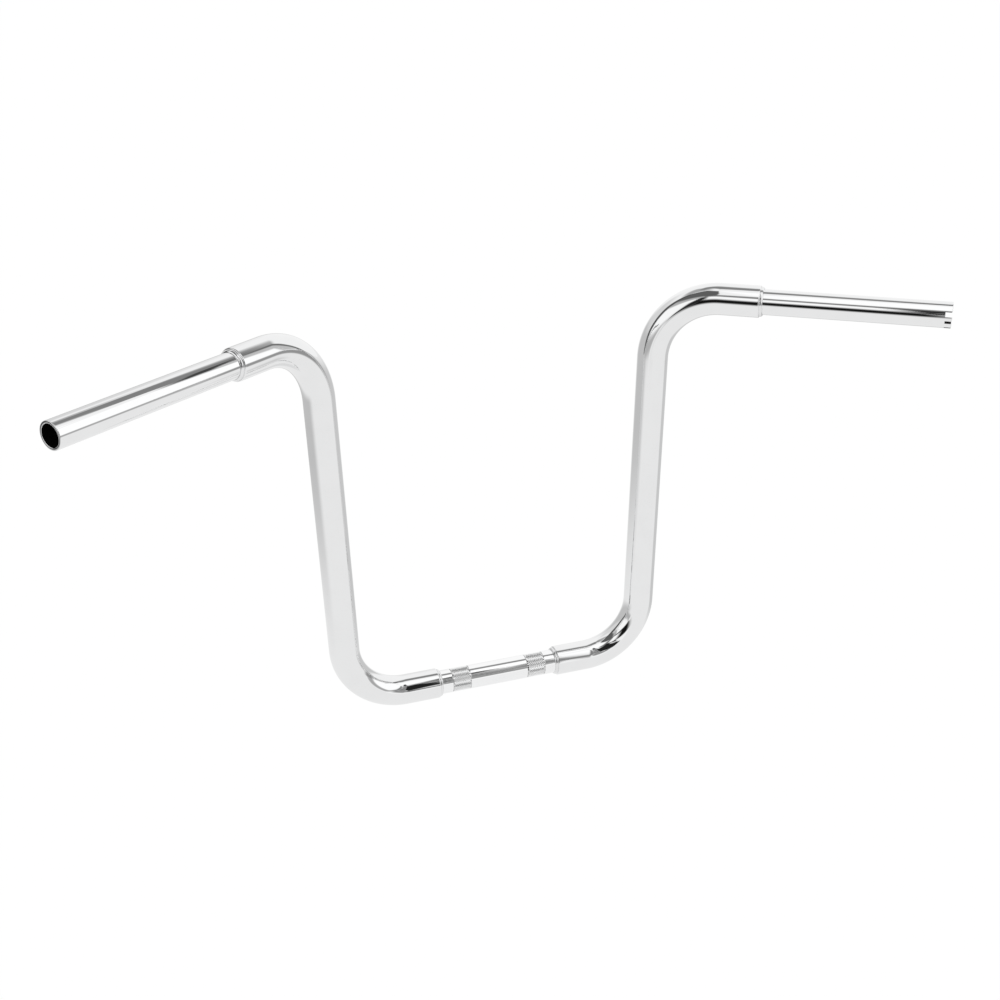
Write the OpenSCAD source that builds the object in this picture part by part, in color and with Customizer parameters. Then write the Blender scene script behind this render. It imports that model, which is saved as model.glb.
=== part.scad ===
// Ape hanger handlebar, welded from large tube with smaller tube at the clamp and at the grips.
// The frame has its origin at the middle of the clamp section, on its axis.
// +X runs to the rider's right hand, which is the throttle side, -Y runs back to the rider,
// and +Z runs up.

/* [Overall form] */
// Height of the grips' axis above the clamp section's axis
rise = 406.4; // [340:0.1:500]
// Lean of each upright, outwards from vertical, in degrees
lean_angle = 1.7; // [0:0.1:8]
// Turn of each grip back towards the rider, in degrees
sweep_angle = 35.5; // [15:0.1:50]
// Centreline radius of the two lower bends
lower_bend_r = 63.5; // [50:0.1:90]
// Centreline radius of the two upper bends
upper_bend_r = 68; // [50:0.1:90]
// Straight length of large tube between the clamp section and a lower bend
lower_leg = 36; // [32:0.1:80]
// Straight length of large tube between an upper bend and the grip tube
upper_leg = 38.6; // [32:0.1:80]

/* [Large tube] */
// Outside diameter of the large tube
main_d = 31.75; // [28:0.05:38]
// Wall of the large tube
main_wall = 3.4; // [1.6:0.05:3.5]
// Rounding of the outer edge at both ends of the large tube
main_edge_r = 1; // [0.3:0.05:1.4]
// How far each face of the wall is drawn in where the tube is bent
draw_in = 0.06; // [0.04:0.01:0.15]

/* [Small tube] */
// Outside diameter of the clamp section and the grips
bar_d = 25.4; // [22.2:0.05:26]
// Wall of the clamp section and the grips
bar_wall = 2.5; // [1.6:0.05:3]
// Width of the clamp section between the ends of the large tubes
clamp_w = 134.8; // [124:0.1:200]
// Length of the left grip tube that stands out of the large tube
left_grip_len = 201; // [150:0.5:260]
// Length of the throttle tube that stands out of the large tube
throttle_grip_len = 183; // [140:0.5:260]
// Bevel on the outer edge of each grip's open end
end_bevel = 0.5; // [0.2:0.05:1.2]
// Depth that each small tube goes into the large tube
insert_depth = 26; // [15:0.5:30]
// Gap all round between an inserted end and the large tube's bore
insert_gap = 0.05; // [0.02:0.01:0.1]

/* [Welds] */
// Radius of the weld bead's round section
bead_r = 2.2; // [1.5:0.05:2.6]
// Distance from the large tube's end to the middle of the bead
bead_set = 1.1; // [0.5:0.05:1.4]
// Depth of the turned neck under each bead
neck_depth = 0.2; // [0.05:0.01:0.3]
// Length of neck that shows as a fine groove past the bead
neck_show = 0.2; // [0.1:0.05:0.5]
// Gap all round between a bead and the neck it sits on
bead_gap = 0.03; // [0.02:0.01:0.1]

/* [Knurled bands] */
// Distance between the middles of the two bands, where the risers clamp
band_spacing = 85; // [80:0.5:92]
// Width of one band
band_w = 20; // [10:0.5:28]
// Diamonds round the bar
knurl_around = 40; // [24:1:48]
// Diamonds across one band
knurl_across = 8; // [4:1:10]
// Depth of the grooves between the diamonds
knurl_depth = 0.45; // [0.2:0.05:0.6]

/* [Throttle slots] */
// Length of the slots cut into the throttle tube's end
slot_len = 6.5; // [3:0.5:12]
// Width of the upper slot
upper_slot_w = 3.2; // [2:0.1:5]
// Width of the middle slot
middle_slot_w = 2.8; // [2:0.1:5]
// Width of the lower slot
lower_slot_w = 5.2; // [2:0.1:6]
// Turn of the upper slot above the rider's side of the tube, in degrees
upper_slot_turn = 61; // [52:1:70]
// Turn of the middle slot above the rider's side of the tube, in degrees
middle_slot_turn = 19; // [12:1:24]
// Turn of the lower slot above the rider's side of the tube, in degrees
lower_slot_turn = -18; // [-26:1:-14]

/* [Hidden] */
$fn = 96;
// Overlap of a cutting tool past the face that it opens
past = 1;
// Overlap of a knurled band into the plain tube beside it
band_lap = 0.5;
// Overlap of a straight length over the thinner wall of the bend beside it
bend_lap = 0.3;

main_r = main_d / 2;
main_bore_r = main_r - main_wall;
bar_r = bar_d / 2;
bar_bore_r = bar_r - bar_wall;
insert_r = main_bore_r - insert_gap;
neck_r = bar_r - neck_depth;
bead_len = bead_set + bead_r;
neck_len = bead_len + neck_show;
half_clamp = clamp_w / 2;

// The lower bend turns from the clamp's axis to the upright, the upper one from there to the grip.
lower_turn = 90 - lean_angle;
lower_set = lower_bend_r * tan(lower_turn / 2);
upper_turn = acos(cos(sweep_angle) * sin(lean_angle));
upper_set = upper_bend_r * tan(upper_turn / 2);
upper_heading = atan2(-sin(sweep_angle), cos(sweep_angle) * cos(lean_angle));

// Corners are where the straight centrelines would cross.
lower_corner_x = half_clamp + lower_leg + lower_set;
upright_len = rise / cos(lean_angle);
upper_corner_x = lower_corner_x + rise * tan(lean_angle);

chrome = [0.86, 0.87, 0.88];
weld_chrome = [0.8, 0.81, 0.82];

// Frame whose +Z runs outwards along the clamp's axis, from the end of the large tube.
module at_clamp_end() {
    translate([half_clamp, 0, 0])
        rotate([0, 90, 0])
            children();
}

// Frame whose +Z runs up the upright from the lower corner.
module at_upright() {
    translate([lower_corner_x, 0, 0])
        rotate([0, lean_angle, 0])
            children();
}

// Frame whose +Z runs out along the grip from the upper corner, with +X down
// and -Y on the rider's side.
module at_grip() {
    translate([upper_corner_x, 0, rise])
        rotate([0, 90, -sweep_angle])
            children();
}

// Frame of the grip tube, from the large tube's end.
module at_grip_tube() {
    at_grip()
        translate([0, 0, upper_set + upper_leg])
            children();
}

module other_side() {
    mirror([1, 0, 0])
        children();
}

// Section of the large tube, with each face of its wall drawn in by an amount.
module main_section(drawn) {
    difference() {
        circle(r = main_r - drawn);
        circle(r = main_bore_r + drawn);
    }
}

// Straight large tube from a bend at the origin, with a rounded outer edge at its far end.
module main_leg(length) {
    translate([0, 0, -bend_lap])
        linear_extrude(length - main_edge_r + bend_lap)
            main_section(0);
    translate([0, 0, length - main_edge_r])
        rotate_extrude() {
            translate([main_bore_r, 0])
                square([main_wall - main_edge_r, main_edge_r]);
            intersection() {
                translate([main_r - main_edge_r, 0])
                    circle(r = main_edge_r);
                translate([main_r - main_edge_r, 0])
                    square(main_edge_r);
            }
        }
}

// Bent large tube, from the origin along +Z and turning towards +X.
module main_bend(bend_r, turn) {
    translate([bend_r, 0, 0])
        rotate([90, 0, 180])
            rotate_extrude(angle = turn)
                translate([bend_r, 0])
                    main_section(draw_in);
}

// One large tube, from the clamp section up to the grip.
module main_tube() {
    at_clamp_end()
        translate([0, 0, lower_leg])
            rotate([0, 180, 0])
                main_leg(lower_leg);
    at_clamp_end()
        translate([0, 0, lower_leg])
            rotate([0, 0, 180])
                main_bend(lower_bend_r, lower_turn);
    at_upright()
        translate([0, 0, lower_set - bend_lap])
            linear_extrude(upright_len - lower_set - upper_set + 2 * bend_lap)
                main_section(0);
    at_upright()
        translate([0, 0, upright_len - upper_set])
            rotate([0, 0, upper_heading])
                main_bend(upper_bend_r, upper_turn);
    at_grip()
        translate([0, 0, upper_set])
            main_leg(upper_leg);
}

// Inserted end and turned neck of a small tube, along +Z from the large tube's inside.
module joint_end() {
    translate([0, 0, -insert_depth])
        cylinder(h = insert_depth, r = insert_r);
    cylinder(h = neck_len, r = neck_r);
}

// Place of one corner of the knurl. A diamond peaks where the two counts add to an odd number,
// and grooves cross at the other corners and all round both edges of the band, from where
// the band laps into the plain tube.
function knurl_corner(around, across) =
    let (
        edge = across <= 0 || across >= 2 * knurl_across,
        r = edge || (around + across) % 2 == 0 ? bar_r - knurl_depth : bar_r,
        turn = 180 * around / knurl_around,
        lap = across < 0 ? -band_lap : across > 2 * knurl_across ? band_lap : 0,
        row = min(max(across, 0), 2 * knurl_across)
    )
    [r * cos(turn), r * sin(turn), lap + band_w * row / (2 * knurl_across)];

// One knurled band, as a drum that stands on the origin.
module knurled_band() {
    columns = 2 * knurl_around;
    rows = 2 * knurl_across + 2;
    corners = [
        for (j = [0:rows])
            for (i = [0:columns - 1])
                knurl_corner(i, j - 1)
    ];
    facets = [
        for (j = [0:rows - 1])
            for (i = [0:columns - 1])
                let (
                    a = j * columns + i,
                    b = j * columns + (i + 1) % columns,
                    c = b + columns,
                    d = a + columns
                )
                each ((i + j) % 2 == 0 ? [[a, d, b], [b, d, c]] : [[a, c, b], [a, d, c]])
    ];
    lower_face = [[for (i = [0:columns - 1]) i]];
    upper_face = [[for (i = [columns - 1:-1:0]) rows * columns + i]];
    polyhedron(points = corners, faces = concat(facets, lower_face, upper_face), convexity = 4);
}

// Half of the clamp section, along +Z from the middle of the bar.
module half_clamp_tube() {
    band_start = (band_spacing - band_w) / 2;
    band_end = band_start + band_w;
    cylinder(h = band_start, r = bar_r);
    translate([0, 0, band_start])
        knurled_band();
    translate([0, 0, band_end])
        cylinder(h = half_clamp - neck_len - band_end, r = bar_r);
    translate([0, 0, half_clamp])
        rotate([0, 180, 0])
            joint_end();
}

module clamp_tube() {
    color(chrome)
        rotate([0, 90, 0])
            difference() {
                union() {
                    half_clamp_tube();
                    mirror([0, 0, 1])
                        half_clamp_tube();
                }
                cylinder(h = clamp_w + 2 * (insert_depth + past), r = bar_bore_r, center = true);
            }
}

// Grip tube along +Z, which stands out by length and has a bevelled open end.
module grip_tube(length) {
    difference() {
        union() {
            joint_end();
            translate([0, 0, neck_len])
                cylinder(h = length - neck_len - end_bevel, r = bar_r);
            translate([0, 0, length - end_bevel])
                cylinder(h = end_bevel, r1 = bar_r, r2 = bar_r - end_bevel);
        }
        translate([0, 0, -insert_depth - past])
            cylinder(h = length + insert_depth + 2 * past, r = bar_bore_r);
    }
}

// Cutter for a pair of slots across the throttle tube's end, turned up from the rider's side.
module slot_pair(turn, width) {
    rotate([0, 0, turn])
        translate([0, 0, throttle_grip_len - slot_len / 2 + past / 2])
            cube([width, 2 * bar_r + past, slot_len + past], center = true);
}

// Weld bead round a neck, along +Z from the large tube's end.
module weld_bead() {
    rotate_extrude()
        intersection() {
            translate([neck_r, bead_set])
                circle(r = bead_r);
            translate([neck_r + bead_gap, 0])
                square([bead_r, bead_len]);
        }
}

module left_main_tube() {
    color(chrome)
        other_side()
            main_tube();
}

module right_main_tube() {
    color(chrome)
        main_tube();
}

module left_grip_tube() {
    color(chrome)
        other_side()
            at_grip_tube()
                grip_tube(left_grip_len);
}

module throttle_grip_tube() {
    color(chrome)
        at_grip_tube()
            difference() {
                grip_tube(throttle_grip_len);
                slot_pair(upper_slot_turn, upper_slot_w);
                slot_pair(middle_slot_turn, middle_slot_w);
                slot_pair(lower_slot_turn, lower_slot_w);
            }
}

module left_clamp_weld() {
    color(weld_chrome)
        other_side()
            right_clamp_weld();
}

module right_clamp_weld() {
    color(weld_chrome)
        at_clamp_end()
            rotate([0, 180, 0])
                weld_bead();
}

module left_grip_weld() {
    color(weld_chrome)
        other_side()
            throttle_grip_weld();
}

module throttle_grip_weld() {
    color(weld_chrome)
        at_grip_tube()
            weld_bead();
}

clamp_tube();
left_main_tube();
right_main_tube();
left_grip_tube();
throttle_grip_tube();
left_clamp_weld();
right_clamp_weld();
left_grip_weld();
throttle_grip_weld();
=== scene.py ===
"""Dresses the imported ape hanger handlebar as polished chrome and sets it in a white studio.

Lengths in the dataclasses are in millimetres, as in the part's own drawing, and are turned
into metres by MM where a mesh is made. +X is the rider's right hand, -Y is towards the
rider and +Z is up.
"""
from __future__ import annotations

import logging
import math
from dataclasses import dataclass, field
from enum import Enum

import bmesh
import bpy
from mathutils import Matrix, Vector

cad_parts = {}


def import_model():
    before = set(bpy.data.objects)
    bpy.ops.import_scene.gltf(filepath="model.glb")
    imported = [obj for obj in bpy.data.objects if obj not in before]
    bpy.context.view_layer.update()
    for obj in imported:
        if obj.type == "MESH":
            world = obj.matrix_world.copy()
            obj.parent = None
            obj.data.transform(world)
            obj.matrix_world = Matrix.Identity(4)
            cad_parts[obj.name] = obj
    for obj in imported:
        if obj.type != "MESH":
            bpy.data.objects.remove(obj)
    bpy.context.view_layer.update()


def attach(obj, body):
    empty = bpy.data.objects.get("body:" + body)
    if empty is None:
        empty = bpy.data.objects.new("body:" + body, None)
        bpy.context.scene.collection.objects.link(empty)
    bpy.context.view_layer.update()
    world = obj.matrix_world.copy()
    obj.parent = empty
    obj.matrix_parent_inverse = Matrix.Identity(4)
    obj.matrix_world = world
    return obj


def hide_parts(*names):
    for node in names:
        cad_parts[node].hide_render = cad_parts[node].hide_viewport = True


Tree = bpy.types.NodeTree
Socket = bpy.types.NodeSocket
Material = bpy.types.Material
Piece = bpy.types.Object
Corners = list[bmesh.types.BMVert]
Pair = tuple[float, float]
Triple = tuple[float, float, float]

LOG = logging.getLogger("handlebar")
MM = 0.001
# Corners this near each other, in metres, are merged where two skins meet.
MERGE_DISTANCE = 2e-6
# Angle past which an edge is sharp, in degrees, unless a piece has its own.
SHARP_ANGLE = 30.0


class Side(Enum):
    """Which half of the bar a piece belongs to, as the sign of its X."""

    LEFT = -1
    THROTTLE = 1


class Slot(Enum):
    """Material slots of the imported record."""

    TUBE = "polished_chrome"
    KNURL = "knurled_chrome"
    WELD = "weld_chrome"


@dataclass(frozen=True)
class BarSizes:
    """Driving sizes of the bar, in millimetres and degrees, as the solids have them."""

    rise: float = 406.4
    lean_angle: float = 1.7
    sweep_angle: float = 35.5
    lower_bend_r: float = 63.5
    upper_bend_r: float = 68.0
    lower_leg: float = 36.0
    upper_leg: float = 38.6
    main_r: float = 15.875
    main_bore_r: float = 12.475
    main_edge_r: float = 1.0
    bar_r: float = 12.7
    bar_bore_r: float = 10.2
    half_clamp: float = 67.4
    left_grip_len: float = 201.0
    throttle_grip_len: float = 183.0
    end_bevel: float = 0.5
    insert_depth: float = 26.0
    insert_r: float = 12.425
    neck_depth: float = 0.2
    neck_show: float = 0.2
    bead_r: float = 2.2
    bead_set: float = 1.1
    bead_gap: float = 0.03
    band_spacing: float = 85.0
    band_w: float = 20.0
    band_lap: float = 0.5
    knurl_around: int = 40
    knurl_across: int = 8
    knurl_depth: float = 0.45
    slot_len: float = 6.5
    slots: tuple[Pair, ...] = ((61.0, 3.2), (19.0, 2.8), (-18.0, 5.2))

    @property
    def neck_r(self) -> float:
        """Radius of the turned neck."""
        return self.bar_r - self.neck_depth

    @property
    def neck_len(self) -> float:
        """Length of the turned neck, of which the weld bead covers the most."""
        return self.bead_set + self.bead_r + self.neck_show


@dataclass(frozen=True)
class Bend:
    """A bend between two straight stretches of one tube, which would meet at its corner."""

    corner: Vector
    arriving: Vector
    leaving: Vector
    radius: float

    @property
    def angle(self) -> float:
        """Angle that the tube turns through, in radians."""
        return self.arriving.angle(self.leaving)

    @property
    def setback(self) -> float:
        """Distance from the corner to each end of the bend."""
        return self.radius * math.tan(self.angle / 2)

    @property
    def start(self) -> Vector:
        """Where the bend begins."""
        return self.corner - self.arriving * self.setback

    @property
    def end(self) -> Vector:
        """Where the bend ends."""
        return self.corner + self.leaving * self.setback

    @property
    def axis(self) -> Vector:
        """Axis that the tube turns about."""
        return self.arriving.cross(self.leaving).normalized()

    @property
    def centre(self) -> Vector:
        """Centre of the bend's arc."""
        inward = (self.leaving - self.arriving * self.arriving.dot(self.leaving)).normalized()
        return self.start + inward * self.radius


@dataclass(frozen=True)
class Route:
    """Centreline of one half of the bar."""

    sizes: BarSizes
    side: Side

    def _sided(self, x: float, y: float, z: float) -> Vector:
        """Vector with its X turned to this side."""
        return Vector((self.side.value * x, y, z))

    @property
    def across(self) -> Vector:
        """Direction outwards along the clamp section."""
        return self._sided(1, 0, 0)

    @property
    def upright(self) -> Vector:
        """Direction up the upright."""
        lean = math.radians(self.sizes.lean_angle)
        return self._sided(math.sin(lean), 0, math.cos(lean))

    @property
    def grip(self) -> Vector:
        """Direction outwards along the grip."""
        sweep = math.radians(self.sizes.sweep_angle)
        return self._sided(math.cos(sweep), -math.sin(sweep), 0)

    @property
    def clamp_end(self) -> Vector:
        """Middle of the large tube's end at the clamp section."""
        return self.across * self.sizes.half_clamp

    @property
    def lower_bend(self) -> Bend:
        """Bend from the clamp section into the upright."""
        s = self.sizes
        turn = math.radians(90 - s.lean_angle)
        reach = s.half_clamp + s.lower_leg + s.lower_bend_r * math.tan(turn / 2)
        return Bend(self.across * reach, self.across, self.upright, s.lower_bend_r)

    @property
    def upper_bend(self) -> Bend:
        """Bend from the upright into the grip."""
        s = self.sizes
        length = s.rise / math.cos(math.radians(s.lean_angle))
        corner = self.lower_bend.corner + self.upright * length
        return Bend(corner, self.upright, self.grip, s.upper_bend_r)

    @property
    def grip_joint(self) -> Vector:
        """Middle of the large tube's end at the grip."""
        return self.upper_bend.end + self.grip * self.sizes.upper_leg


def frame_along(origin: Vector, direction: Vector, facing: Vector) -> Matrix:
    """Frame in metres whose Z runs along a direction and whose X leans to a facing one.

    Args:
        origin: Its place, in millimetres.
        direction: Its Z axis.
        facing: The way its X axis points, as far as it can.

    Returns:
        The frame as a matrix.
    """
    z = direction.normalized()
    x = (facing - z * facing.dot(z)).normalized()
    y = z.cross(x)
    turn = Matrix((x, y, z)).transposed().to_4x4()
    return Matrix.Translation(origin * MM) @ turn


def corners_of(geometry: list[object]) -> Corners:
    """The corners among the pieces of geometry that an operator made."""
    return [part for part in geometry if isinstance(part, bmesh.types.BMVert)]


def middle_of(corners: Corners) -> Vector:
    """The middle of some corners."""
    return sum((corner.co for corner in corners), Vector()) / len(corners)


@dataclass
class Skin:
    """A round skin that grows ring by ring inside a bmesh."""

    mesh: bmesh.types.BMesh
    frame: Matrix
    segments: int = 144
    ring: Corners = field(default_factory=list)
    first: Corners = field(default_factory=list)

    def begin(self, radius: float) -> None:
        """Lays the first ring, with a radius in millimetres."""
        made = bmesh.ops.create_circle(self.mesh, cap_ends=False, segments=self.segments,
                                       radius=radius * MM, matrix=self.frame)
        self.ring = list(made["verts"])
        self.first = list(self.ring)

    def ring_edges(self, ring: Corners | None = None) -> list[bmesh.types.BMEdge]:
        """Edges that join the corners of a ring, which is the last one if none is given."""
        corners = set(ring or self.ring)
        edges = {e for v in corners for e in v.link_edges}
        return [e for e in edges if e.verts[0] in corners and e.verts[1] in corners]

    def _grow(self) -> Vector:
        """Extrudes the last ring in place and returns its centre, in metres."""
        made = bmesh.ops.extrude_edge_only(self.mesh, edges=self.ring_edges())
        self.ring = corners_of(made["geom"])
        return middle_of(self.ring)

    def straight(self, offset: Vector, steps: int = 1) -> None:
        """Grows the skin in a straight line.

        Args:
            offset: How far and which way, in millimetres.
            steps: Number of rings laid on the way.
        """
        for _ in range(steps):
            self._grow()
            bmesh.ops.translate(self.mesh, verts=self.ring, vec=offset * (MM / steps))

    def held(self, offset: Vector, steps: int = 1, hold: float = 0.25) -> None:
        """Grows a straight with a close ring at both ends, which keeps its shading true.

        Args:
            offset: How far and which way, in millimetres.
            steps: Number of rings laid between the close ones.
            hold: Distance of each close ring from its end, in millimetres.
        """
        near = offset.normalized() * hold
        self.straight(near)
        self.straight(offset - near * 2, steps)
        self.straight(near)

    def reach(self, offset: Vector, radius: float) -> None:
        """Grows the skin by one ring of another radius.

        Args:
            offset: How far and which way, in millimetres.
            radius: The new radius, in millimetres.
        """
        centre = self._grow()
        now = (self.ring[0].co - centre).length
        for corner in self.ring:
            corner.co = centre + (corner.co - centre) * (radius * MM / now)
        bmesh.ops.translate(self.mesh, verts=self.ring, vec=offset * MM)

    def round_off(self, way: Vector, radius: float, inwards: float, steps: int) -> None:
        """Rounds the skin's edge where it ends.

        Args:
            way: Direction of growth.
            radius: Its radius, in millimetres.
            inwards: How far the edge turns into the wall, as a signed change of the radius.
            steps: Number of rings laid on the way.
        """
        for step in range(1, steps + 1):
            done, before = (math.pi / 2 * k / steps for k in (step, step - 1))
            rise = abs(inwards) * (math.sin(done) - math.sin(before))
            self.reach(way * rise, radius + inwards * (1 - math.cos(done)))

    def inserted_end(self, way: Vector, sizes: BarSizes) -> None:
        """Lays the end that goes into a large tube, and the neck after it.

        Args:
            way: Direction of growth.
            sizes: Sizes of the bar.
        """
        self.begin(sizes.insert_r)
        self.straight(way * sizes.insert_depth)
        self.reach(Vector(), sizes.neck_r)
        self.straight(way * sizes.neck_len)
        self.reach(Vector(), sizes.bar_r)

    def turn(self, bend: Bend, steps: int) -> None:
        """Spins the skin round a bend.

        Args:
            bend: The bend.
            steps: Number of rings laid on the way.
        """
        made = bmesh.ops.spin(
            self.mesh, geom=self.ring + self.ring_edges(), cent=bend.centre * MM,
            axis=bend.axis, dvec=Vector(), angle=bend.angle, space=Matrix.Identity(4),
            steps=steps, use_merge=False, use_normal_flip=False, use_duplicate=False,
        )
        self.ring = corners_of(made["geom_last"])


def close_wall(outer: Skin, inner: Skin) -> None:
    """Closes the wall between two skins with a flat ring at each end, welded to both.

    Args:
        outer: The outer skin.
        inner: The bore, in the same bmesh and with as many segments.
    """
    for rim, mouth in ((outer.first, inner.first), (outer.ring, inner.ring)):
        made = bmesh.ops.extrude_edge_only(outer.mesh, edges=outer.ring_edges(rim))
        corners = corners_of(made["geom"])
        middle = middle_of(mouth)
        shrink = (mouth[0].co - middle).length / (corners[0].co - middle).length
        for corner in corners:
            corner.co = middle + (corner.co - middle) * shrink
        bmesh.ops.remove_doubles(outer.mesh, verts=corners + mouth, dist=MERGE_DISTANCE)


def add_object(name: str, mesh: bmesh.types.BMesh, materials: list[Material]) -> Piece:
    """Turns a bmesh into an object of the scene.

    Args:
        name: Name of the new object.
        mesh: The finished bmesh, which is freed.
        materials: Its materials, in the order of the faces' indices.

    Returns:
        The new object.
    """
    data = bpy.data.meshes.new(name)
    mesh.to_mesh(data)
    mesh.free()
    for material in materials:
        data.materials.append(material)
    added = bpy.data.objects.new(name, data)
    bpy.context.scene.collection.objects.link(added)
    return added


def finish_piece(mesh: bmesh.types.BMesh, name: str, node: str,
                 finishes: list[Material], sharp: float = SHARP_ANGLE) -> Piece:
    """Turns a bmesh into a smooth piece that stands for a node of the frame.

    Args:
        mesh: The finished bmesh, which is freed.
        name: Name of the new object.
        node: Node that the piece replaces.
        finishes: Its materials, in the order of the faces' indices.
        sharp: Angle past which an edge is sharp, in degrees.

    Returns:
        The new object.
    """
    bmesh.ops.recalc_face_normals(mesh, faces=mesh.faces)
    loose = sum(not edge.is_manifold for edge in mesh.edges)
    for face in mesh.faces:
        face.smooth = True
    piece = add_object(name, mesh, finishes)
    piece.data.set_sharp_from_angle(angle=math.radians(sharp))
    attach(piece, "root")
    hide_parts(node)
    faces = len(piece.data.polygons)
    LOG.info("%s: %d faces, %d open edges, replaces %s", name, faces, loose, node)
    return piece


def new_material(name: str) -> tuple[Material, Tree]:
    """Makes a material with nodes.

    Args:
        name: Its name.

    Returns:
        The material and its node tree.
    """
    material = bpy.data.materials.new(name)
    material.use_nodes = True
    return material, material.node_tree


def math_node(tree: Tree, operation: str, first: Socket, second: Socket | float,
              clamp: bool = False) -> Socket:
    """Adds a Math node.

    Args:
        tree: Node tree that takes the node.
        operation: What it does with its two values.
        first: Its first value.
        second: Its second value, from a socket or as a number.
        clamp: True to keep the result from 0 to 1.

    Returns:
        The node's output socket.
    """
    node = tree.nodes.new("ShaderNodeMath")
    node.operation = operation
    node.use_clamp = clamp
    tree.links.new(first, node.inputs[0])
    if isinstance(second, float):
        node.inputs[1].default_value = second
    else:
        tree.links.new(second, node.inputs[1])
    return node.outputs[0]


def range_node(tree: Tree, value: Socket, start: float, end: float,
               low: float = 0.0, high: float = 1.0, smooth: bool = False) -> Socket:
    """Adds a Map Range node.

    Args:
        tree: Node tree that takes the node.
        value: The value that is mapped.
        start: Value that gives the low result.
        end: Value that gives the high result.
        low: The low result.
        high: The high result.
        smooth: True for soft ends.

    Returns:
        The node's output socket.
    """
    node = tree.nodes.new("ShaderNodeMapRange")
    if smooth:
        node.interpolation_type = "SMOOTHSTEP"
    bounds = {"From Min": start, "From Max": end, "To Min": low, "To Max": high}
    for label, number in bounds.items():
        node.inputs[label].default_value = number
    tree.links.new(value, node.inputs["Value"])
    return node.outputs["Result"]


def mix_colours(tree: Tree, factor: Socket, first: Triple, second: Socket | Triple) -> Socket:
    """Adds a Mix node for colours.

    Args:
        tree: Node tree that takes the node.
        factor: Share of the second colour.
        first: The first colour.
        second: The second colour, from a socket or as three numbers.

    Returns:
        The node's output socket.
    """
    node = tree.nodes.new("ShaderNodeMix")
    node.data_type = "RGBA"
    node.inputs["A"].default_value = (*first, 1)
    tree.links.new(factor, node.inputs["Factor"])
    if isinstance(second, tuple):
        node.inputs["B"].default_value = (*second, 1)
    else:
        tree.links.new(second, node.inputs["B"])
    return node.outputs["Result"]


def mix_shaders(tree: Tree, factor: Socket, first: Socket, second: Socket, surface: Socket) -> None:
    """Mixes two shaders into a material's surface.

    Args:
        tree: Node tree of the material.
        factor: Share of the second shader.
        first: The first shader.
        second: The second shader.
        surface: Surface socket of the material's output.
    """
    node = tree.nodes.new("ShaderNodeMixShader")
    tree.links.new(factor, node.inputs["Fac"])
    tree.links.new(first, node.inputs[1])
    tree.links.new(second, node.inputs[2])
    tree.links.new(node.outputs["Shader"], surface)


@dataclass(frozen=True)
class Noise:
    """One layer of noise on given coordinates."""

    scale: float
    detail: float
    share: float = 1.0

    def add(self, tree: Tree, vector: Socket) -> Socket:
        """Adds the noise to a tree.

        Args:
            tree: Node tree that takes it.
            vector: Its coordinates.

        Returns:
            The socket of its value times its share.
        """
        noise = tree.nodes.new("ShaderNodeTexNoise")
        noise.inputs["Scale"].default_value = self.scale
        noise.inputs["Detail"].default_value = self.detail
        tree.links.new(vector, noise.inputs["Vector"])
        if self.share == 1.0:
            return noise.outputs["Fac"]
        return math_node(tree, "MULTIPLY", noise.outputs["Fac"], self.share)


@dataclass(frozen=True)
class NodeGroups:
    """Shader groups that the chrome finishes share."""

    waves: Noise = Noise(28.0, 1.0)
    ripple: Noise = Noise(110.0, 2.0, 0.16)
    grain: Noise = Noise(2600.0, 2.0, 0.012)
    clouds: Noise = Noise(45.0, 5.0)
    streaks: Noise = Noise(420.0, 3.0)
    streak_stretch: Triple = (1.0, 1.0, 9.0)
    haze_range: Pair = (0.18, 0.42)

    @staticmethod
    def _new(name: str, output: str) -> tuple[Tree, bpy.types.Node, bpy.types.Node]:
        """Makes an empty group with a vector and an amount going in.

        Args:
            name: Name of the group.
            output: Name of the value that comes out.

        Returns:
            The group's tree, its input node and its output node.
        """
        tree = bpy.data.node_groups.new(name, "ShaderNodeTree")
        tree.interface.new_socket("Vector", in_out="INPUT", socket_type="NodeSocketVector")
        tree.interface.new_socket("Amount", in_out="INPUT", socket_type="NodeSocketFloat")
        tree.interface.new_socket(output, in_out="OUTPUT", socket_type="NodeSocketFloat")
        return tree, tree.nodes.new("NodeGroupInput"), tree.nodes.new("NodeGroupOutput")

    def plating_relief(self) -> Tree:
        """Makes the height of the plating: slow waves left by bending, with a trace of grain.

        Returns:
            The group's tree.
        """
        tree, entry, leave = self._new("plating_relief", "Height")
        vector = entry.outputs["Vector"]
        slow = math_node(tree, "ADD", self.waves.add(tree, vector), self.ripple.add(tree, vector))
        total = math_node(tree, "ADD", slow, self.grain.add(tree, vector))
        height = math_node(tree, "MULTIPLY", total, entry.outputs["Amount"])
        tree.links.new(height, leave.inputs["Height"])
        return tree

    def handling_haze(self) -> Tree:
        """Makes a mask from 0 to 1 of faint cloudy haze and polishing streaks.

        Returns:
            The group's tree.
        """
        tree, entry, leave = self._new("handling_haze", "Haze")
        vector = entry.outputs["Vector"]
        stretch = tree.nodes.new("ShaderNodeMapping")
        stretch.inputs["Scale"].default_value = self.streak_stretch
        tree.links.new(vector, stretch.inputs["Vector"])
        streaks = self.streaks.add(tree, stretch.outputs["Vector"])
        mixed = math_node(tree, "MULTIPLY", self.clouds.add(tree, vector), streaks)
        spread = range_node(tree, mixed, *self.haze_range, smooth=True)
        haze = math_node(tree, "MULTIPLY", spread, entry.outputs["Amount"])
        tree.links.new(haze, leave.inputs["Haze"])
        return tree


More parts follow.
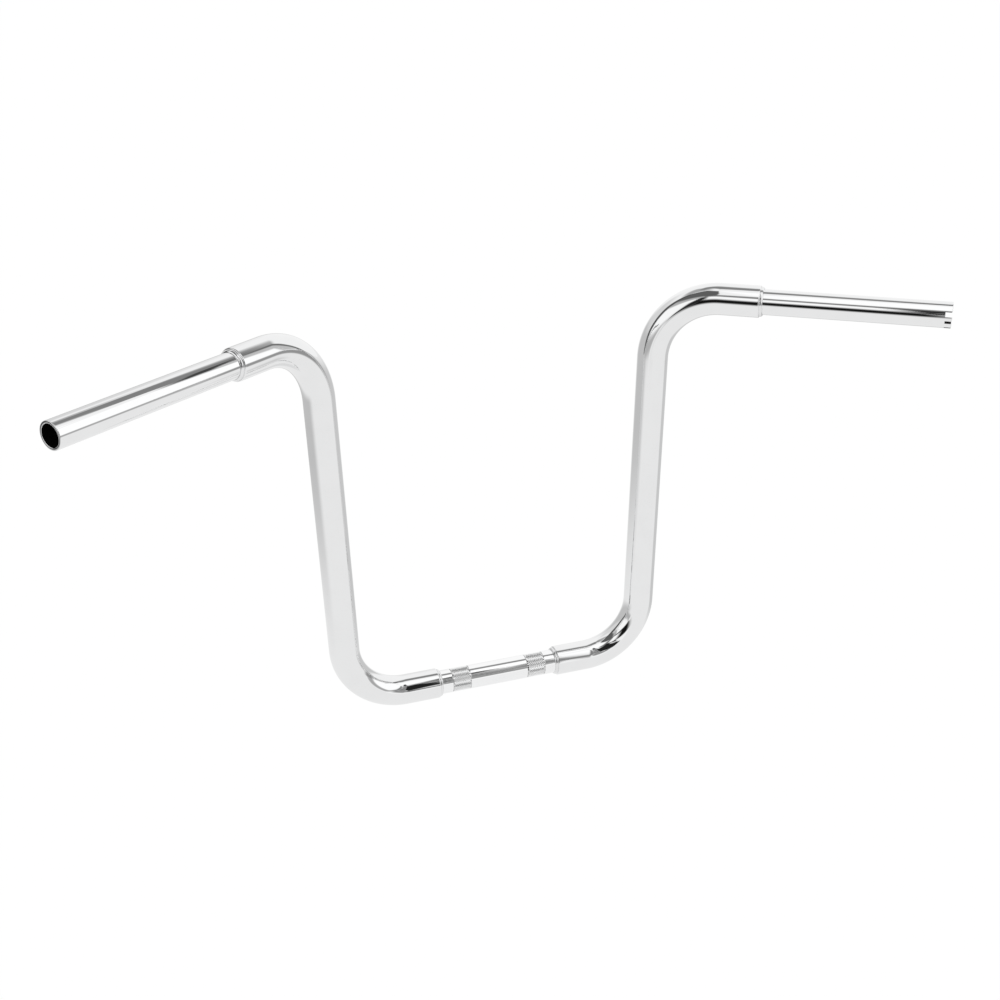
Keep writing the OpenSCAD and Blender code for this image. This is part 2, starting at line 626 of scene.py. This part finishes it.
@dataclass(frozen=True)
class MetalFinish:
    """A metal finish, from mirror chrome to the dull bare steel inside a tube, painted near black
    as shade.

    The relief height is in metres. On a knurled finish, painted shade darkens the grooves below the
    clear share of their depth.
    """

    name: str
    colour: Triple
    hazed_colour: Triple
    roughness: float
    hazed_roughness: float
    haze: float
    relief_height: float
    knurled: bool = False
    # Colour of the painted shade at the floors of the knurl's grooves.
    groove_shade_colour: Triple = (0.05, 0.05, 0.051)
    clear_share: float = 0.84

    def _paint_groove_shade(self, tree: Tree, place: Socket, colour: Socket) -> Socket:
        """Paints shade on the floors of the grooves, darker by their depth under the tube's own
        radius.

        Args:
            tree: Node tree of the material.
            place: Object coordinates.
            colour: Colour outside the grooves.

        Returns:
            The socket of the new colour.
        """
        sizes = BarSizes()
        split = tree.nodes.new("ShaderNodeSeparateXYZ")
        tree.links.new(place, split.inputs["Vector"])
        flat = tree.nodes.new("ShaderNodeCombineXYZ")
        tree.links.new(split.outputs["Y"], flat.inputs["Y"])
        tree.links.new(split.outputs["Z"], flat.inputs["Z"])
        radius = tree.nodes.new("ShaderNodeVectorMath")
        radius.operation = "LENGTH"
        tree.links.new(flat.outputs["Vector"], radius.inputs[0])
        floor = (sizes.bar_r - sizes.knurl_depth) * MM
        clear = (sizes.bar_r - self.clear_share * sizes.knurl_depth) * MM
        height = range_node(tree, radius.outputs["Value"], floor, clear)
        return mix_colours(tree, height, self.groove_shade_colour, colour)

    def _add_group(self, tree: Tree, group: Tree, amount: float, place: Socket) -> Socket:
        """Adds a shared group to the material.

        Args:
            tree: Node tree of the material.
            group: The shared group.
            amount: How much of it this finish has.
            place: Object coordinates.

        Returns:
            The group's output socket.
        """
        node = tree.nodes.new("ShaderNodeGroup")
        node.node_tree = group
        node.inputs["Amount"].default_value = amount
        tree.links.new(place, node.inputs["Vector"])
        return node.outputs[0]

    def build(self, relief: Tree, haze: Tree) -> Material:
        """Makes the material.

        Args:
            relief: Shared group for the height of the surface.
            haze: Shared group for the mask of haze.

        Returns:
            The new material.
        """
        material, tree = new_material(self.name)
        shader = tree.nodes["Principled BSDF"]
        shader.inputs["Metallic"].default_value = 1.0
        place = tree.nodes.new("ShaderNodeTexCoord").outputs["Object"]
        marks = self._add_group(tree, haze, self.haze, place)
        colour = mix_colours(tree, marks, self.colour, self.hazed_colour)
        # Painted shade in the knurl's grooves.
        if self.knurled:
            colour = self._paint_groove_shade(tree, place, colour)
        tree.links.new(colour, shader.inputs["Base Color"])
        dull = range_node(tree, marks, 0.0, 1.0, self.roughness, self.hazed_roughness)
        tree.links.new(dull, shader.inputs["Roughness"])
        bump = tree.nodes.new("ShaderNodeBump")
        bump.inputs["Strength"].default_value = 1.0
        bump.inputs["Distance"].default_value = self.relief_height
        tree.links.new(self._add_group(tree, relief, 1.0, place), bump.inputs["Height"])
        tree.links.new(bump.outputs["Normal"], shader.inputs["Normal"])
        return material


TUBE_CHROME = MetalFinish(
    name="chrome_tube", colour=(0.875, 0.877, 0.88), hazed_colour=(0.84, 0.842, 0.845),
    roughness=0.012, hazed_roughness=0.05, haze=0.6, relief_height=2.0e-5,
)
KNURL_CHROME = MetalFinish(
    name="chrome_knurl", colour=(0.95, 0.952, 0.955), hazed_colour=(0.92, 0.922, 0.925),
    roughness=0.05, hazed_roughness=0.1, haze=0.6, relief_height=2.0e-5, knurled=True,
)
WELD_CHROME = MetalFinish(
    name="chrome_weld", colour=(0.86, 0.862, 0.865), hazed_colour=(0.76, 0.762, 0.765),
    roughness=0.02, hazed_roughness=0.08, haze=1.0, relief_height=6.0e-5,
)
# Inside the grip tubes: dull bare steel, its colour painted near black as the bore's shade.
BORE_STEEL_AND_SHADE = MetalFinish(
    name="bore_steel_painted_shade", colour=(0.03, 0.029, 0.028), hazed_colour=(0.012, 0.011, 0.01),
    roughness=0.55, hazed_roughness=0.8, haze=1.0, relief_height=3.0e-4,
)


@dataclass
class Finishes:
    """All the finishes of the bar, built once."""

    tube: Material = field(init=False)
    knurl: Material = field(init=False)
    weld: Material = field(init=False)
    bore: Material = field(init=False)

    def __post_init__(self) -> None:
        """Builds the shared groups and each material."""
        groups = NodeGroups()
        shared = (groups.plating_relief(), groups.handling_haze())
        self.tube, self.knurl, self.weld, self.bore = (
            finish.build(*shared) for finish in (TUBE_CHROME, KNURL_CHROME, WELD_CHROME, BORE_STEEL_AND_SHADE)
        )


@dataclass
class LargeTube:
    """One bent large tube, from the clamp section up to the grip."""

    route: Route
    finishes: Finishes
    name: str
    node: str
    bend_steps: int = 150
    bore_bend_steps: int = 36
    edge_steps: int = 6
    leg_steps: int = 3
    upright_steps: int = 12

    def _open_edge(self, skin: Skin) -> None:
        """Rounds the outer skin's edge where it starts, at the clamp section.

        Args:
            skin: The outer skin, with its first ring laid.
        """
        s = self.route.sizes
        for step in range(1, self.edge_steps + 1):
            done, before = (math.pi / 2 * k / self.edge_steps for k in (step, step - 1))
            rise = s.main_edge_r * (math.cos(before) - math.cos(done))
            skin.reach(self.route.across * rise, s.main_r - s.main_edge_r * (1 - math.sin(done)))

    def _grow(self, skin: Skin, edge: float, bend_steps: int) -> None:
        """Runs a skin from one end of the tube to the other.

        Args:
            skin: The skin, with its first rings laid.
            edge: Length left for a rounded edge at each end, in millimetres.
            bend_steps: Number of rings laid round each bend.
        """
        route = self.route
        s = route.sizes
        skin.held(route.across * (s.lower_leg - edge), self.leg_steps)
        skin.turn(route.lower_bend, bend_steps)
        skin.held(route.upper_bend.start - route.lower_bend.end, self.upright_steps)
        skin.turn(route.upper_bend, bend_steps)
        skin.held(route.grip * (s.upper_leg - edge), self.leg_steps)

    def build(self) -> Piece:
        """Builds the closed wall of the tube and dresses it.

        Returns:
            The finished piece.
        """
        route = self.route
        s = route.sizes
        mesh = bmesh.new()
        frame = frame_along(route.clamp_end, route.across, Vector((0, 0, 1)))
        outer = Skin(mesh, frame)
        outer.begin(s.main_r - s.main_edge_r)
        self._open_edge(outer)
        self._grow(outer, s.main_edge_r, self.bend_steps)
        outer.round_off(route.grip, s.main_r, -s.main_edge_r, self.edge_steps)
        inner = Skin(mesh, frame)
        inner.begin(s.main_bore_r)
        self._grow(inner, 0.0, self.bore_bend_steps)
        close_wall(outer, inner)
        return finish_piece(mesh, self.name, self.node, [self.finishes.tube])


@dataclass
class GripTube:
    """A small tube for a grip, open at its outer end.

    Each slot is its turn round the tube in degrees and its width in millimetres. The cutters run
    past the tube by the overcut, in millimetres. The bore's finish, dull steel painted near black
    as shade, goes on each face that lies within the bore's radius times the margin.
    """

    route: Route
    finishes: Finishes
    name: str
    node: str
    length: float
    slots: tuple[Pair, ...] = ()
    bevel_steps: int = 4
    outer_steps: int = 12
    bore_steps: int = 6
    overcut: float = 1.0
    bore_margin: float = 1.01

    def _lay_skins(self, mesh: bmesh.types.BMesh) -> tuple[Skin, Skin]:
        """Lays the skins of the tube, from the inserted end to the rounded rim.

        Args:
            mesh: The bmesh that takes them.

        Returns:
            The outer skin and the bore.
        """
        s = self.route.sizes
        way = self.route.grip
        frame = frame_along(self.route.grip_joint - way * s.insert_depth, way, Vector((0, 0, -1)))
        end_len = s.slot_len + self.overcut
        outer = Skin(mesh, frame)
        outer.inserted_end(way, s)
        outer.held(way * (self.length - s.neck_len - end_len), self.outer_steps)
        outer.held(way * (end_len - s.end_bevel))
        outer.round_off(way, s.bar_r, -s.end_bevel, self.bevel_steps)
        inner = Skin(mesh, frame)
        inner.begin(s.bar_bore_r)
        inner.held(way * (s.insert_depth + self.length - end_len), self.bore_steps)
        inner.held(way * (end_len - s.end_bevel))
        inner.round_off(way, s.bar_bore_r, s.end_bevel, self.bevel_steps)
        return outer, inner

    def _cut_slots(self, piece: Piece) -> None:
        """Cuts each slot right across the open end.

        Args:
            piece: The finished tube.
        """
        s = self.route.sizes
        way = self.route.grip
        end = frame_along(self.route.grip_joint + way * self.length, way, Vector((0, 0, -1)))
        across, along = 2 * s.bar_r + self.overcut, s.slot_len + self.overcut
        mesh = bmesh.new()
        for turn, width in self.slots:
            place = Matrix.Rotation(math.radians(turn), 4, "Z")
            shift = Matrix.Translation((0, 0, (self.overcut - s.slot_len) / 2 * MM))
            scale = Matrix.Diagonal((width * MM, across * MM, along * MM, 1))
            bmesh.ops.create_cube(mesh, size=1.0, matrix=end @ place @ shift @ scale)
        cutter = add_object(self.name + "_cutter", mesh, [])
        cut = piece.modifiers.new("slots", "BOOLEAN")
        cut.operation = "DIFFERENCE"
        cut.solver = "EXACT"
        cut.use_self = True
        cut.object = cutter
        ready = piece.evaluated_get(bpy.context.evaluated_depsgraph_get())
        piece.data = bpy.data.meshes.new_from_object(ready)
        piece.modifiers.clear()
        bpy.data.objects.remove(cutter)
        piece.data.set_sharp_from_angle(angle=math.radians(SHARP_ANGLE))

    def build(self) -> Piece:
        """Builds the closed wall of the tube, dresses it and cuts its slots.

        Returns:
            The finished piece.
        """
        mesh = bmesh.new()
        outer, inner = self._lay_skins(mesh)
        close_wall(outer, inner)
        origin = self.route.grip_joint * MM
        way = self.route.grip
        bore_reach = self.route.sizes.bar_bore_r * self.bore_margin * MM
        # Faces in the bore take the dull steel painted near black as shade.
        for face in mesh.faces:
            arm = face.calc_center_median() - origin
            off_axis = (arm - way * arm.dot(way)).length
            face.material_index = int(off_axis < bore_reach)
        finishes = [self.finishes.tube, self.finishes.bore]
        piece = finish_piece(mesh, self.name, self.node, finishes)
        if self.slots:
            self._cut_slots(piece)
        return piece


@dataclass
class ClampTube:
    """The small tube at the middle, with its two knurled bands."""

    sizes: BarSizes
    finishes: Finishes
    name: str
    node: str
    bore_steps: int = 2
    sharp_angle: float = 14.0

    def _knurl(self, skin: Skin) -> None:
        """Grows one band of rows and presses the grooves between its diamonds.

        Args:
            skin: The outer skin, with its last ring where the band begins.
        """
        s = self.sizes
        rows = 2 * s.knurl_across
        columns = 2 * s.knurl_around
        before = set(skin.mesh.faces)
        lines = [skin.ring]
        for _ in range(rows):
            skin.straight(Vector((s.band_w / rows, 0, 0)))
            lines.append(skin.ring)
        low = set()
        for row, line in enumerate(lines):
            for corner in line:
                turn = math.atan2(corner.co.z, corner.co.y) / (2 * math.pi)
                if row in (0, rows) or (round(turn * columns) + row) % 2 == 0:
                    low.add(corner)
        press = (s.bar_r - s.knurl_depth) / s.bar_r
        for corner in low:
            corner.co.y *= press
            corner.co.z *= press
        for face in [f for f in skin.mesh.faces if f not in before]:
            ends = [v for v in face.verts if v in low]
            if len(ends) == 2:
                bmesh.utils.face_split(face, ends[0], ends[1])

    def build(self) -> Piece:
        """Builds the closed wall of the tube, with real diamonds, and dresses it.

        Returns:
            The finished piece.
        """
        s = self.sizes
        mesh = bmesh.new()
        along = Vector((1, 0, 0))
        reach = s.half_clamp + s.insert_depth
        frame = frame_along(along * -reach, along, Vector((0, -1, 0)))
        around = 2 * s.knurl_around
        side_len = s.half_clamp - s.neck_len - (s.band_spacing + s.band_w) / 2
        outer = Skin(mesh, frame, around)
        outer.inserted_end(along, s)
        outer.held(along * (side_len - s.band_lap))
        outer.straight(along * s.band_lap)
        self._knurl(outer)
        outer.reach(along * s.band_lap, s.bar_r)
        outer.held(along * (s.band_spacing - s.band_w - 2 * s.band_lap))
        outer.straight(along * s.band_lap)
        self._knurl(outer)
        outer.reach(along * s.band_lap, s.bar_r)
        outer.held(along * (side_len - s.band_lap))
        outer.reach(Vector(), s.neck_r)
        outer.straight(along * s.neck_len)
        outer.reach(Vector(), s.insert_r)
        outer.straight(along * s.insert_depth)
        inner = Skin(mesh, frame, around)
        inner.begin(s.bar_bore_r)
        inner.straight(along * (2 * reach), self.bore_steps)
        close_wall(outer, inner)
        return finish_piece(mesh, self.name, self.node, [self.finishes.knurl],
                            self.sharp_angle)


@dataclass
class WeldBead:
    """A smoothed weld bead round the neck of a small tube."""

    sizes: BarSizes
    finishes: Finishes
    name: str
    node: str
    origin: Vector
    way: Vector
    arc_steps: int = 14
    ring_steps: int = 128
    sharp_angle: float = 60.0

    def build(self) -> Piece:
        """Spins the bead's section into a ring and dresses it.

        Returns:
            The finished piece.
        """
        s = self.sizes
        frame = frame_along(self.origin, self.way, Vector((0, 0, 1)))
        start = math.acos(-s.bead_set / s.bead_r)
        section = [
            Vector((s.neck_r + s.bead_r * math.sin(t), 0, s.bead_set + s.bead_r * math.cos(t)))
            for t in (start * step / self.arc_steps for step in range(self.arc_steps + 1))
        ]
        section[0] = Vector((s.neck_r + s.bead_gap, 0, section[0].z))
        section.append(Vector((s.neck_r + s.bead_gap, 0, 0)))
        mesh = bmesh.new()
        corners = [mesh.verts.new(frame @ (p * MM)) for p in section]
        edges = [mesh.edges.new((a, b)) for a, b in zip(corners, corners[1:] + corners[:1])]
        bmesh.ops.spin(
            mesh, geom=corners + edges, cent=self.origin * MM, axis=self.way, dvec=Vector(),
            angle=2 * math.pi, space=Matrix.Identity(4), steps=self.ring_steps, use_merge=True,
            use_normal_flip=False, use_duplicate=False,
        )
        return finish_piece(mesh, self.name, self.node, [self.finishes.weld],
                            self.sharp_angle)


@dataclass(frozen=True)
class Card:
    """A studio card, frame or softbox, seen only in the chrome.

    Each row gives the card's two edges there, as azimuth and elevation of one and then of the
    other, in degrees from the bar. Azimuth runs from the rider's side towards +X. The tone is
    how bright the card shows in the chrome, from 0 to 1, and the feather is how far it fades in
    from its edges, across and along, as shares of its size.
    """

    name: str
    rows: tuple[tuple[float, float, float, float], ...]
    tone: float
    feather: Pair

    @classmethod
    def panel(cls, name: str, azimuths: Pair, elevations: Pair, tone: float,
              feather: Pair) -> Card:
        """Makes a panel between two azimuths and two elevations.

        Args:
            name: Name of the card.
            azimuths: Its two sides.
            elevations: Its lower and upper edge.
            tone: Its tone.
            feather: Its fade across and along.

        Returns:
            The new card.
        """
        start, end = azimuths
        rows = tuple((start, height, end, height) for height in elevations)
        return cls(name, rows, tone, feather)

    @classmethod
    def post(cls, name: str, stations: tuple[Triple, ...], tone: float,
             feather: Pair) -> Card:
        """A strip that climbs, with its middle azimuth, elevation and width at each station."""
        rows = tuple((az - wide / 2, el, az + wide / 2, el) for az, el, wide in stations)
        return cls(name, rows, tone, feather)

    @classmethod
    def beam(cls, name: str, stations: tuple[Triple, ...], tone: float,
             feather: Pair) -> Card:
        """A strip that runs sideways, with its azimuth, middle elevation and height there."""
        rows = tuple((az, el - high / 2, az, el + high / 2) for az, el, high in stations)
        return cls(name, rows, tone, feather)


SHADED_WALLS = (
    Card.panel("wall_shade_left", (-185, -110), (0, 55), 0.83, (0.3, 0.4)),
    Card.panel("floor_shade_left", (-200, -60), (-35, 22), 0.74, (0.25, 0.3)),
    Card.panel("floor_shade_right", (80, 155), (-44, 5), 0.77, (0.15, 0.25)),
    Card.panel("ceiling_back_left", (-190, -114), (52, 86), 0.64, (0.2, 0.3)),
)
RIGHT_SIDE = (
    Card.beam("overhead_box", ((-32, 68, 34), (78, 71, 28)), 1.0, (0.09, 0.07)),
    Card.post("right_box", ((57, 4, 58), (58, 30, 60), (60, 57, 50)), 1.0, (0.07, 0.1)),
    Card.panel("back_shade", (78, 94), (0, 54), 0.74, (0.25, 0.1)),
    Card.beam("ceiling_beam", ((79, 51, 7), (93, 57, 12), (98, 61, 29), (115, 66, 28),
                               (139, 72, 35), (166, 70, 26), (185, 70, 10), (205, 73, 10)),
              0.5, (0.32, 0.06)),
    Card.post("back_post", ((96, -4, 8), (94, 30, 10), (96, 58, 18)), 0.42, (0.35, 0.1)),
    Card.beam("back_arc", ((83, 50, 6), (90, 56, 7), (99, 59, 6), (109, 61, 7)), 0.26, (0.3, 0.13)),
    Card.panel("box_foot_right", (65, 106), (-14, 10), 0.57, (0.2, 0.34)),
    Card.panel("right_box_foot", (22, 71), (-10, 9), 0.65, (0.06, 0.36)),
)
LEFT_SIDE = (
    Card.post("ceiling_left", ((-84, 40, 68), (-77, 50, 82), (-76, 65, 86), (-74, 85, 76)),
              0.36, (0.06, 0.11)),
    Card.panel("ceiling_left_low", (-106, -49), (32, 51), 0.68, (0.07, 0.4)),
    Card.panel("left_box", (-105, -51), (1, 39), 0.97, (0.19, 0.21)),
    Card.post("left_post", ((-96, -10, 13), (-99, -2, 17), (-110, 14, 23), (-115, 40, 31),
                            (-115, 70, 20)), 0.31, (0.3, 0.06)),
    Card.panel("left_box_foot", (-97, -48), (-16, 4), 0.68, (0.15, 0.4)),
)
RIDER_SIDE = (
    Card.beam("window_beam", ((-50, 44, 8), (-41, 47, 17), (-28, 51, 22), (-11, 48, 25),
                              (12, 52, 9)), 0.46, (0.44, 0.09)),
    Card.panel("middle_box", (-46, -16), (17, 43), 0.98, (0.13, 0.13)),
    Card.post("middle_post", ((-46, -7, 8), (-47, 6, 10), (-49, 22, 14), (-49, 47, 9)),
              0.16, (0.35, 0.14)),
    Card.post("middle_dark", ((-29, -16, 31), (-33, 32, 41)), 0.07, (0.17, 0.36)),
    Card("camera_dark", ((1, -9, 8, -8), (-7, 7, 10, 5), (-22, 22, 20, 28), (-16, 53, 17, 45)),
         0.13, (0.13, 0.12)),
    Card.post("light_wedge", ((-7, 4, 4), (-13, 34, 8)), 0.82, (0.35, 0.19)),
    Card("near_shade", ((10, -8, 22, -5), (15, 56, 28, 50)), 0.66, (0.13, 0.09)),
    Card("near_line", ((9, 5, 17, 5), (9, 20, 23, 18), (10, 45, 22, 41), (18, 56, 31, 50),
                       (34, 67, 40, 64)), 0.12, (0.32, 0.17)),
    Card.post("box_edge_line", ((26, -1, 5), (23, 21, 10), (27, 38, 7), (34, 50, 10)),
              0.5, (0.4, 0.1)),
    Card.beam("near_foot", ((6, -1, 14), (14, 3, 7), (22, 6, 6)), 0.45, (0.25, 0.15)),
)
CARDS = SHADED_WALLS + RIGHT_SIDE + LEFT_SIDE + RIDER_SIDE


def direction_of(azimuth: float, elevation: float) -> Vector:
    """Unit vector of an azimuth and elevation in degrees."""
    a, e = math.radians(azimuth), math.radians(elevation)
    return Vector((math.sin(a) * math.cos(e), -math.cos(a) * math.cos(e), math.sin(e)))


@dataclass(frozen=True)
class Lamp:
    """A soft square lamp that lights the bar, in metres and watts."""

    name: str
    place: Triple
    size: float
    power: float

    def hang(self, target: Vector) -> None:
        """Hangs the lamp, hidden from the chrome and the camera.

        Args:
            target: What it faces, in metres.
        """
        data = bpy.data.lights.new(self.name, "AREA")
        data.shape = "SQUARE"
        data.size = self.size
        data.energy = self.power
        lamp = bpy.data.objects.new(self.name, data)
        lamp.location = self.place
        lamp.rotation_mode = "QUATERNION"
        lamp.rotation_quaternion = (target - Vector(self.place)).to_track_quat("-Z", "Y")
        lamp.visible_glossy = False
        lamp.visible_camera = False
        bpy.context.scene.collection.objects.link(lamp)


LAMPS = (
    Lamp("overhead_lamp", (0.2, -0.6, 2.4), 2.0, 26.0),
    Lamp("side_lamp", (2.2, -1.6, 1.4), 1.6, 14.0),
)


@dataclass
class Studio:
    """White studio: floor, world, soft lamps and reflected cards. Lengths are in metres."""

    centre: Vector = field(default_factory=lambda: Vector((0, -0.05, 0.22)))
    card_radius: float = 1.4
    layer_gap: float = 0.002
    grid_across: int = 8
    grid_per_row: int = 6
    reflectivity: float = 0.875
    floor_z: float = -6.0
    floor_half: float = 200.0
    floor_colour: Triple = (0.8, 0.8, 0.8)
    floor_roughness: float = 0.9
    floor_white: Triple = (1.02, 1.02, 1.02)
    floor_tone: float = 0.905
    floor_glow: float = 0.94
    room_grey: Triple = (0.9, 0.9, 0.9)
    room_white: Triple = (1.0, 1.0, 1.0)

    def _scene_light(self, tone: float) -> Triple:
        """Light that shows in the chrome at an sRGB tone from 0 to 1."""
        linear = ((tone + 0.055) / 1.055) ** 2.4 if tone > 0.04045 else tone / 12.92
        return (linear / self.reflectivity,) * 3

    def _card_material(self, card: Card) -> Material:
        """Makes a plain light that fades out towards the card's edges.

        Args:
            card: The card that it is for.

        Returns:
            The new material.
        """
        material, tree = new_material("card_" + card.name)
        tree.nodes.clear()
        out = tree.nodes.new("ShaderNodeOutputMaterial")
        glow = tree.nodes.new("ShaderNodeEmission")
        glow.inputs["Color"].default_value = (*self._scene_light(card.tone), 1)
        clear = tree.nodes.new("ShaderNodeBsdfTransparent")
        split = tree.nodes.new("ShaderNodeSeparateXYZ")
        tree.links.new(tree.nodes.new("ShaderNodeUVMap").outputs["UV"], split.inputs["Vector"])
        masks = []
        for axis, width in zip(("X", "Y"), card.feather):
            fold = math_node(tree, "PINGPONG", split.outputs[axis], 0.5)
            masks.append(range_node(tree, fold, 0.0, width, smooth=True))
        both = math_node(tree, "MULTIPLY", *masks)
        mix_shaders(tree, both, clear.outputs["BSDF"], glow.outputs["Emission"],
                    out.inputs["Surface"])
        return material

    def _hang_card(self, card: Card, layer: int) -> None:
        """Hangs one card round the bar, a little nearer than the one before it.

        Args:
            card: The card.
            layer: How many cards hang behind it.
        """
        mesh = bmesh.new()
        uv = mesh.loops.layers.uv.new("UVMap")
        spans = len(card.rows) - 1
        bmesh.ops.create_grid(mesh, x_segments=self.grid_across,
                              y_segments=self.grid_per_row * spans, size=0.5)
        for face in mesh.faces:
            for loop in face.loops:
                loop[uv].uv = (loop.vert.co.x + 0.5, loop.vert.co.y + 0.5)
        radius = self.card_radius * (1 - self.layer_gap * layer)
        for corner in mesh.verts:
            u, v = corner.co.x + 0.5, (corner.co.y + 0.5) * spans
            row = min(int(v), spans - 1)
            near, far = (Vector(card.rows[row + k]) for k in (0, 1))
            az_a, el_a, az_b, el_b = near.lerp(far, v - row)
            way = direction_of(az_a + (az_b - az_a) * u, el_a + (el_b - el_a) * u)
            corner.co = self.centre + way * radius
        board = add_object("card_" + card.name, mesh, [self._card_material(card)])
        for ray in ("camera", "diffuse", "shadow", "transmission", "volume_scatter"):
            setattr(board, "visible_" + ray, False)

    def _lay_floor(self) -> None:
        """Lays the pale floor, white to the camera and soft grey in the chrome."""
        material, tree = new_material("studio_floor")
        shader = tree.nodes["Principled BSDF"]
        shader.inputs["Base Color"].default_value = (*self.floor_colour, 1)
        shader.inputs["Roughness"].default_value = self.floor_roughness
        shader.inputs["Specular IOR Level"].default_value = 0.0
        paths = tree.nodes.new("ShaderNodeLightPath").outputs
        glow = tree.nodes.new("ShaderNodeEmission")
        grey = self._scene_light(self.floor_tone)
        shade = mix_colours(tree, paths["Is Glossy Ray"], self.floor_white, grey)
        tree.links.new(shade, glow.inputs["Color"])
        seen = math_node(tree, "ADD", paths["Is Camera Ray"], paths["Is Glossy Ray"], clamp=True)
        share = math_node(tree, "MULTIPLY", seen, self.floor_glow)
        mix_shaders(tree, share, shader.outputs["BSDF"], glow.outputs["Emission"],
                    tree.nodes["Material Output"].inputs["Surface"])
        mesh = bmesh.new()
        bmesh.ops.create_grid(mesh, x_segments=1, y_segments=1, size=self.floor_half)
        bmesh.ops.translate(mesh, verts=mesh.verts, vec=(0, 0, self.floor_z))
        add_object("studio_floor", mesh, [material])

    def _set_world(self) -> None:
        """Sets white surroundings for the camera and the chrome, and grey light elsewhere."""
        world = bpy.data.worlds.new("studio_world")
        bpy.context.scene.world = world
        world.use_nodes = True
        tree = world.node_tree
        paths = tree.nodes.new("ShaderNodeLightPath").outputs
        seen = math_node(tree, "ADD", paths["Is Camera Ray"], paths["Is Glossy Ray"])
        clear = math_node(tree, "ADD", seen, paths["Is Transmission Ray"], clamp=True)
        shade = mix_colours(tree, clear, self.room_grey, self.room_white)
        tree.links.new(shade, tree.nodes["Background"].inputs["Color"])

    def build(self) -> None:
        """Builds the whole studio."""
        self._set_world()
        self._lay_floor()
        for layer, card in enumerate(CARDS):
            self._hang_card(card, layer)
        for lamp in LAMPS:
            lamp.hang(self.centre)
        LOG.info("studio: %d cards and softboxes, %d lamps", len(CARDS), len(LAMPS))


@dataclass(frozen=True)
class Viewpoint:
    """The photograph's camera. Angles are in degrees and places in metres."""

    azimuth: float = -18.716
    elevation: float = 24.543
    roll: float = -0.826
    distance: float = 1.507785
    target: Triple = (0.007313, 0.001278, 0.204461)
    focal_px: float = 1453.775
    frame_px: float = 1000.0
    sensor_mm: float = 36.0
    clip_start: float = 0.05
    clip_end: float = 200.0

    def build(self) -> None:
        """Makes the camera and sets it as the scene's."""
        data = bpy.data.cameras.new("photo_camera")
        data.sensor_width = self.sensor_mm
        data.lens = self.focal_px * self.sensor_mm / self.frame_px
        data.clip_start = self.clip_start
        data.clip_end = self.clip_end
        camera = bpy.data.objects.new("photo_camera", data)
        back = direction_of(self.azimuth, self.elevation)
        right = (-back).cross(Vector((0, 0, 1))).normalized()
        up = right.cross(-back)
        roll = math.radians(self.roll)
        rolled_right = right * math.cos(roll) + up * math.sin(roll)
        rolled_up = up * math.cos(roll) - right * math.sin(roll)
        turn = Matrix((rolled_right, rolled_up, back)).transposed().to_4x4()
        camera.matrix_world = Matrix.Translation(Vector(self.target) + back * self.distance) @ turn
        bpy.context.scene.collection.objects.link(camera)
        bpy.context.scene.camera = camera


@dataclass
class Handlebar:
    """The whole bar, built sub-assembly by sub-assembly."""

    sizes: BarSizes
    finishes: Finishes

    def build(self) -> None:
        """Builds every tube and weld bead."""
        s = self.sizes
        left = Route(s, Side.LEFT)
        right = Route(s, Side.THROTTLE)
        LargeTube(left, self.finishes, "left_main_skin", "left_main_tube").build()
        LargeTube(right, self.finishes, "right_main_skin", "right_main_tube").build()
        GripTube(left, self.finishes, "left_grip_skin", "left_grip_tube", s.left_grip_len).build()
        GripTube(right, self.finishes, "throttle_grip_skin", "throttle_grip_tube",
                 s.throttle_grip_len, s.slots).build()
        ClampTube(s, self.finishes, "clamp_skin", "clamp_tube").build()
        beads = (
            ("left_clamp", left.clamp_end, -left.across),
            ("right_clamp", right.clamp_end, -right.across),
            ("left_grip", left.grip_joint, left.grip),
            ("throttle_grip", right.grip_joint, right.grip),
        )
        for name, origin, way in beads:
            WeldBead(s, self.finishes, name + "_bead", name + "_weld", origin, way).build()


def main() -> None:
    """Loads the frame, dresses the bar, and sets the studio and the camera."""
    logging.basicConfig(level=logging.INFO, format="%(name)s: %(message)s")
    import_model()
    bpy.context.scene.view_settings.view_transform = "Standard"
    Handlebar(BarSizes(), Finishes()).build()
    Studio().build()
    Viewpoint().build()


if __name__ == "__main__":
    main()
